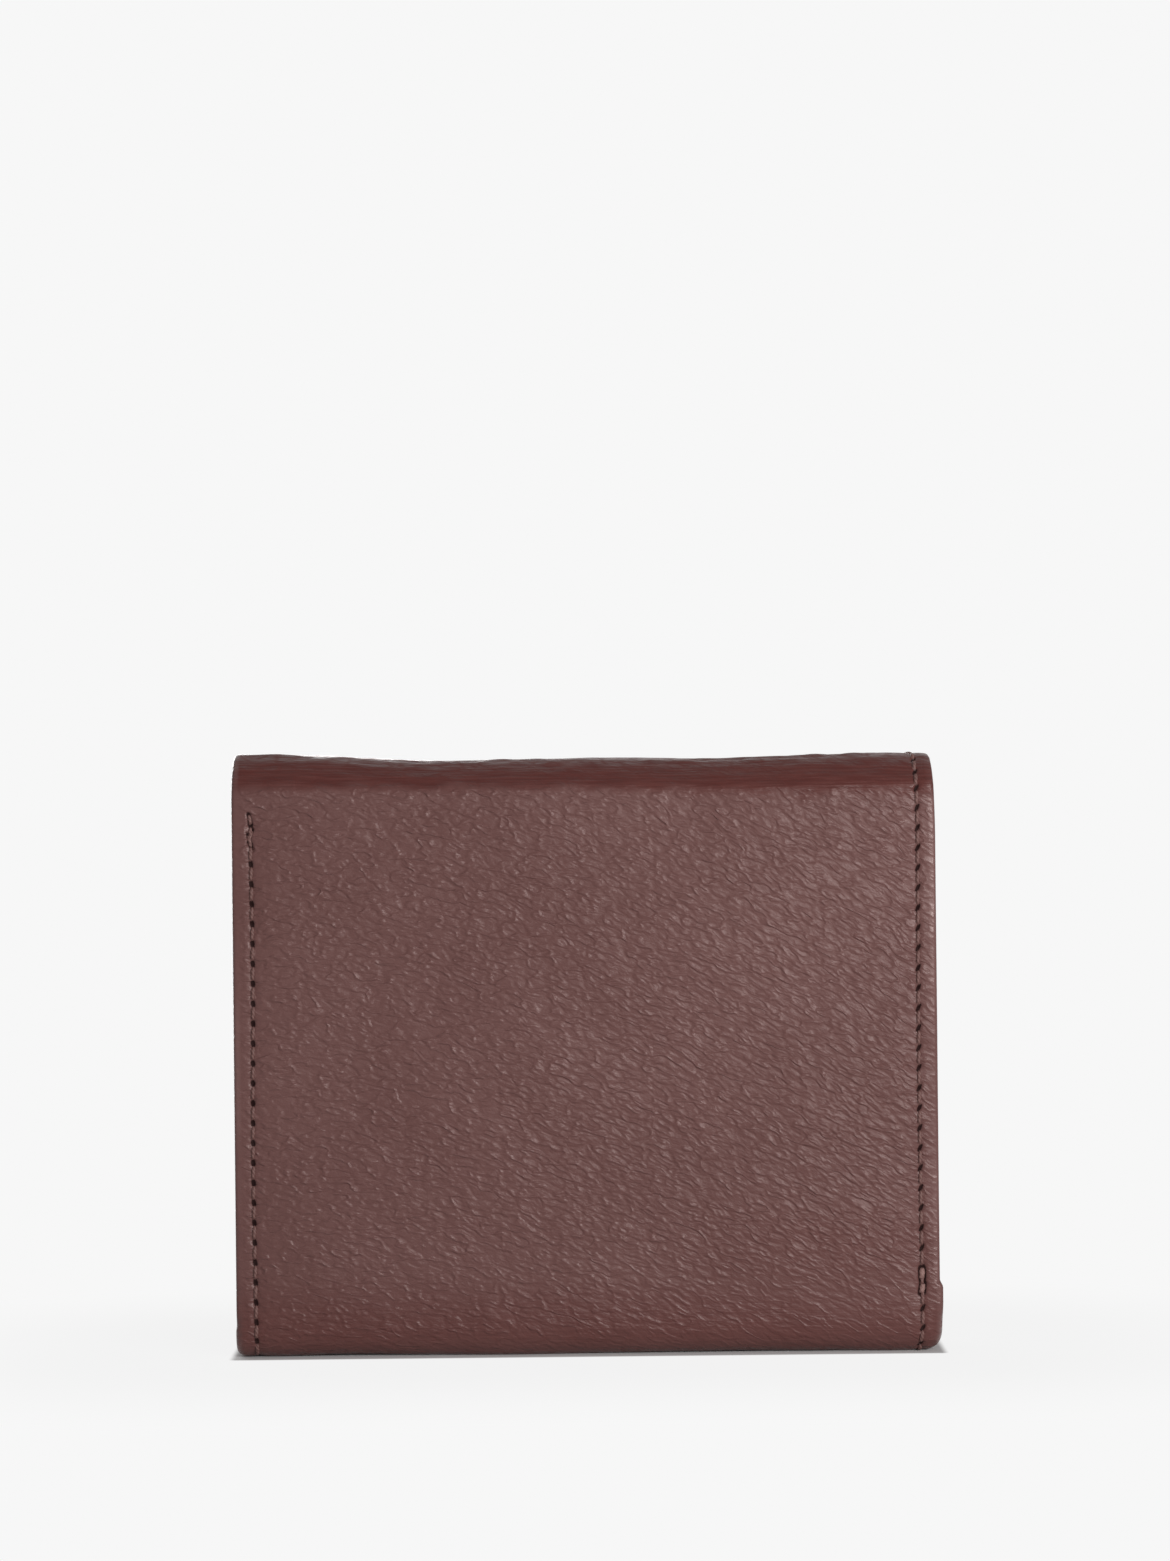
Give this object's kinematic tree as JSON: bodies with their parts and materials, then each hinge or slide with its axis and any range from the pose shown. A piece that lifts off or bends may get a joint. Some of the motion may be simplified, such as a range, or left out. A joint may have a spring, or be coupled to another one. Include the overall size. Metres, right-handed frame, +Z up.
{
  "type": "trifold wallet",
  "caption": "Compact trifold leather wallet with a closing flap, card pockets, a bill compartment, an identity window and a zipped coin pouch.",
  "frame": {"origin": "centre of the closed wallet's footprint, on the surface that it stands on", "axes": "+Z up, -Y out of the plain back panel, +Y out of the flap, +X to the right when the back is viewed"},
  "size_m": [0.1058, 0.0254, 0.09],
  "materials": {
    "shell_leather": "pebbled, semi-matt, dark reddish brown",
    "inner_leather": "smooth, matt, dark reddish brown",
    "board": "bonded leather board",
    "lining": "woven",
    "thread": "waxed polyester",
    "film": "clear, glossy",
    "zip_tape": "woven",
    "zip_coil": "satin",
    "metal": "polished antique brass",
    "magnet": "ground"
  },
  "bodies": {
    "back": {"shell_back": "shell_leather", "back_thread_left": "thread", "back_thread_right": "thread", "back_board": "board", "back_lining": "lining", "bill_divider": "inner_leather", "card_pocket_1": "inner_leather", "card_pocket_2": "inner_leather", "card_pocket_3": "inner_leather", "card_pocket_4": "inner_leather"},
    "top_spine": {"shell_top": "shell_leather", "top_thread_right": "thread", "top_lining": "lining"},
    "flap": {"shell_flap": "shell_leather", "flap_thread_left": "thread", "flap_thread_right": "thread", "flap_thread_tip": "thread", "flap_board": "board", "flap_lining": "lining", "id_frame": "inner_leather", "id_film": "film", "snap_case": "metal", "snap_magnet": "magnet", "snap_rear_disc": "metal", "snap_case_washer": "metal"},
    "base_spine": {"shell_base": "shell_leather", "base_thread_left": "thread", "base_thread_right": "thread", "base_lining": "lining"},
    "front_panel": {"shell_front": "shell_leather", "front_thread_left": "thread", "front_thread_right": "thread", "front_thread_mouth": "thread", "pouch_lining": "lining", "gusset_left": "lining", "gusset_right": "lining", "pouch_backing": "inner_leather", "slip_pocket": "inner_leather", "zip_tape_front": "zip_tape", "zip_tape_rear": "zip_tape", "zip_coil_front": "zip_coil", "zip_coil_rear": "zip_coil", "zip_end_stop": "metal", "zip_top_stop_front": "metal", "zip_top_stop_rear": "metal", "snap_button": "metal", "snap_patch": "shell_leather", "snap_button_washer": "metal"},
    "zip_slider": {"zip_slider": "metal"},
    "zip_pull": {"zip_pull": "metal", "pull_tab": "shell_leather"}
  },
  "joints": [
    {"name": "top_back_fold", "type": "hinge", "parent": "back", "child": "top_spine", "pos_m": [0, -0.01099, 0.08824], "axis": [1, 0, 0], "range_deg": [0, 90]},
    {"name": "top_front_fold", "type": "hinge", "parent": "top_spine", "child": "flap", "pos_m": [0, 0.01099, 0.08824], "axis": [1, 0, 0], "range_deg": [0, 90]},
    {"name": "base_back_fold", "type": "hinge", "parent": "back", "child": "base_spine", "pos_m": [0, -0.01172, 0.00103], "axis": [-1, 0, 0], "range_deg": [0, 90]},
    {"name": "base_front_fold", "type": "hinge", "parent": "base_spine", "child": "front_panel", "pos_m": [0, 0.00472, 0.00103], "axis": [-1, 0, 0], "range_deg": [0, 90]},
    {"name": "zip_slide", "type": "slide", "parent": "front_panel", "child": "zip_slider", "axis": [-1, 0, 0], "range_m": [0, 0.0796]},
    {"name": "zip_pull_swing", "type": "hinge", "parent": "zip_slider", "child": "zip_pull", "pos_m": [0.0398, 0.0001, 0.05635], "axis": [0, 1, 0], "range_deg": [0, 180]}
  ],
  "couplings": [
    {"joint": "top_front_fold", "follows": "top_back_fold", "ratio": 1},
    {"joint": "base_back_fold", "follows": "top_back_fold", "ratio": 1},
    {"joint": "base_front_fold", "follows": "top_back_fold", "ratio": 1}
  ]
}
